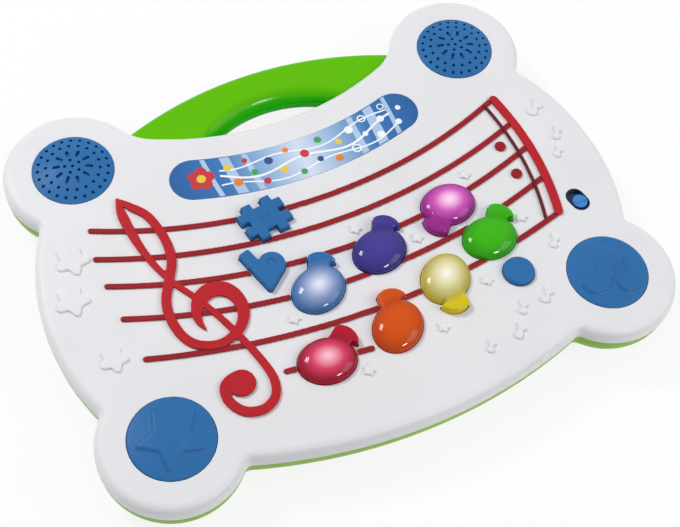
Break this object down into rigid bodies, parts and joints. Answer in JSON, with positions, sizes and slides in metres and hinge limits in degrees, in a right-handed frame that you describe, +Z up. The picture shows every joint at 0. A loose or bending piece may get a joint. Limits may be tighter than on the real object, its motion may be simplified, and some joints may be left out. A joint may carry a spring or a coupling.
{
  "type": "musical activity board",
  "caption": "Flat white toy board with lobed corners, raised red music staff, coloured note buttons to press, domed speaker grilles, a slide switch and a green carrying handle.",
  "frame": {"origin": "middle of the board's footprint, on the plane that the rubber feet stand on", "axes": "+X to the right along the staff, +Y from the player to the handle, +Z up out of the button face"},
  "size_m": [0.34, 0.2574, 0.041],
  "materials": {
    "white_shell": "satin white moulded plastic",
    "green_shell": "satin green moulded plastic",
    "lime_handle": "glossy lime moulded plastic",
    "blue_plastic": "glossy blue moulded plastic",
    "light_blue_knob": "glossy light blue plastic",
    "printed_label": "printed film under clear gloss",
    "red_line": "dark red raised plastic",
    "red_relief": "glossy red raised plastic",
    "note_red": "glossy red translucent plastic",
    "note_orange": "glossy orange translucent plastic",
    "note_yellow": "glossy yellow translucent plastic",
    "note_green": "glossy green translucent plastic",
    "note_light_blue": "glossy light blue translucent plastic",
    "note_indigo": "glossy indigo translucent plastic",
    "note_magenta": "glossy magenta translucent plastic",
    "circuit_board": "green solder mask",
    "lamp": "milky lamp lens",
    "black_plastic": "matte black plastic",
    "silicone": "matte milky silicone",
    "cell_jacket": "plain dark cell jacket",
    "contact_metal": "nickel plated spring steel",
    "zinc_screw": "zinc plated steel",
    "foot_rubber": "matte dark rubber",
    "lead_jacket": "red lead jacket",
    "speaker_steel": "stamped steel, dark zinc",
    "speaker_paper": "black paper cone",
    "speaker_magnet": "ferrite and steel cup"
  },
  "bodies": {
    "board": {"batteries": "cell_jacket", "battery_contacts": "contact_metal", "bottom_shell": "green_shell", "corner_pcb_left": "circuit_board", "corner_pcb_right": "circuit_board", "dome_flat": "silicone", "dome_green": "silicone", "dome_indigo": "silicone", "dome_light_blue": "silicone", "dome_magenta": "silicone", "dome_notes": "silicone", "dome_orange": "silicone", "dome_red": "silicone", "dome_round": "silicone", "dome_sharp": "silicone", "dome_star": "silicone", "dome_yellow": "silicone", "handle_lower": "lime_handle", "handle_upper": "lime_handle", "internal_leads": "lead_jacket", "label_strip": "printed_label", "main_pcb": "circuit_board", "note_leds": "lamp", "pcb_parts": "black_plastic", "pcb_screws": "zinc_screw", "power_switch_body": "black_plastic", "repeat_barline": "red_relief", "rubber_feet": "foot_rubber", "shell_screws": "zinc_screw", "speaker_cone_left": "speaker_paper", "speaker_cone_right": "speaker_paper", "speaker_frame_left": "speaker_steel", "speaker_frame_right": "speaker_steel", "speaker_grille_left": "blue_plastic", "speaker_grille_right": "blue_plastic", "speaker_magnet_left": "speaker_magnet", "speaker_magnet_right": "speaker_magnet", "speaker_screws": "zinc_screw", "staff_lines": "red_line", "top_shell": "white_shell", "treble_clef": "red_relief"},
    "note_red": {"note_button_red": "note_red"},
    "note_orange": {"note_button_orange": "note_orange"},
    "note_yellow": {"note_button_yellow": "note_yellow"},
    "note_green": {"note_button_green": "note_green"},
    "note_light_blue": {"note_button_light_blue": "note_light_blue"},
    "note_indigo": {"note_button_indigo": "note_indigo"},
    "note_magenta": {"note_button_magenta": "note_magenta"},
    "sharp_key": {"sharp_button": "blue_plastic"},
    "flat_key": {"flat_button": "blue_plastic"},
    "round_key": {"round_button": "blue_plastic"},
    "star_key": {"star_button": "blue_plastic"},
    "notes_key": {"notes_button": "blue_plastic"},
    "switch_slider": {"switch_knob": "light_blue_knob", "switch_lever": "black_plastic"},
    "battery_cover": {"battery_door": "green_shell", "battery_door_screws": "zinc_screw"}
  },
  "joints": [
    {"name": "note_red_press", "type": "slide", "parent": "board", "child": "note_red", "axis": [0, 0, -1], "range_m": [0, 0.002], "stiffness_N_per_m": 900, "springref_m": -0.0004, "deforming": ["dome_red"]},
    {"name": "note_orange_press", "type": "slide", "parent": "board", "child": "note_orange", "axis": [0, 0, -1], "range_m": [0, 0.002], "stiffness_N_per_m": 900, "springref_m": -0.0004, "deforming": ["dome_orange"]},
    {"name": "note_yellow_press", "type": "slide", "parent": "board", "child": "note_yellow", "axis": [0, 0, -1], "range_m": [0, 0.002], "stiffness_N_per_m": 900, "springref_m": -0.0004, "deforming": ["dome_yellow"]},
    {"name": "note_green_press", "type": "slide", "parent": "board", "child": "note_green", "axis": [0, 0, -1], "range_m": [0, 0.002], "stiffness_N_per_m": 900, "springref_m": -0.0004, "deforming": ["dome_green"]},
    {"name": "note_light_blue_press", "type": "slide", "parent": "board", "child": "note_light_blue", "axis": [0, 0, -1], "range_m": [0, 0.002], "stiffness_N_per_m": 900, "springref_m": -0.0004, "deforming": ["dome_light_blue"]},
    {"name": "note_indigo_press", "type": "slide", "parent": "board", "child": "note_indigo", "axis": [0, 0, -1], "range_m": [0, 0.002], "stiffness_N_per_m": 900, "springref_m": -0.0004, "deforming": ["dome_indigo"]},
    {"name": "note_magenta_press", "type": "slide", "parent": "board", "child": "note_magenta", "axis": [0, 0, -1], "range_m": [0, 0.002], "stiffness_N_per_m": 900, "springref_m": -0.0004, "deforming": ["dome_magenta"]},
    {"name": "sharp_key_press", "type": "slide", "parent": "board", "child": "sharp_key", "axis": [0, 0, -1], "range_m": [0, 0.002], "stiffness_N_per_m": 900, "springref_m": -0.0004, "deforming": ["dome_sharp"]},
    {"name": "flat_key_press", "type": "slide", "parent": "board", "child": "flat_key", "axis": [0, 0, -1], "range_m": [0, 0.002], "stiffness_N_per_m": 900, "springref_m": -0.0004, "deforming": ["dome_flat"]},
    {"name": "round_key_press", "type": "slide", "parent": "board", "child": "round_key", "axis": [0, 0, -1], "range_m": [0, 0.0015], "stiffness_N_per_m": 900, "springref_m": -0.0004, "deforming": ["dome_round"]},
    {"name": "star_key_press", "type": "slide", "parent": "board", "child": "star_key", "axis": [0, 0, -1], "range_m": [0, 0.002], "stiffness_N_per_m": 900, "springref_m": -0.0004, "deforming": ["dome_star"]},
    {"name": "notes_key_press", "type": "slide", "parent": "board", "child": "notes_key", "axis": [0, 0, -1], "range_m": [0, 0.002], "stiffness_N_per_m": 900, "springref_m": -0.0004, "deforming": ["dome_notes"]},
    {"name": "power_slide", "type": "slide", "parent": "board", "child": "switch_slider", "axis": [-0.2164, 0.9763, 0], "range_m": [0, 0.004]},
    {"name": "battery_door_lift", "type": "slide", "parent": "board", "child": "battery_cover", "axis": [0, 0, -1], "range_m": [0, 0.03]}
  ]
}
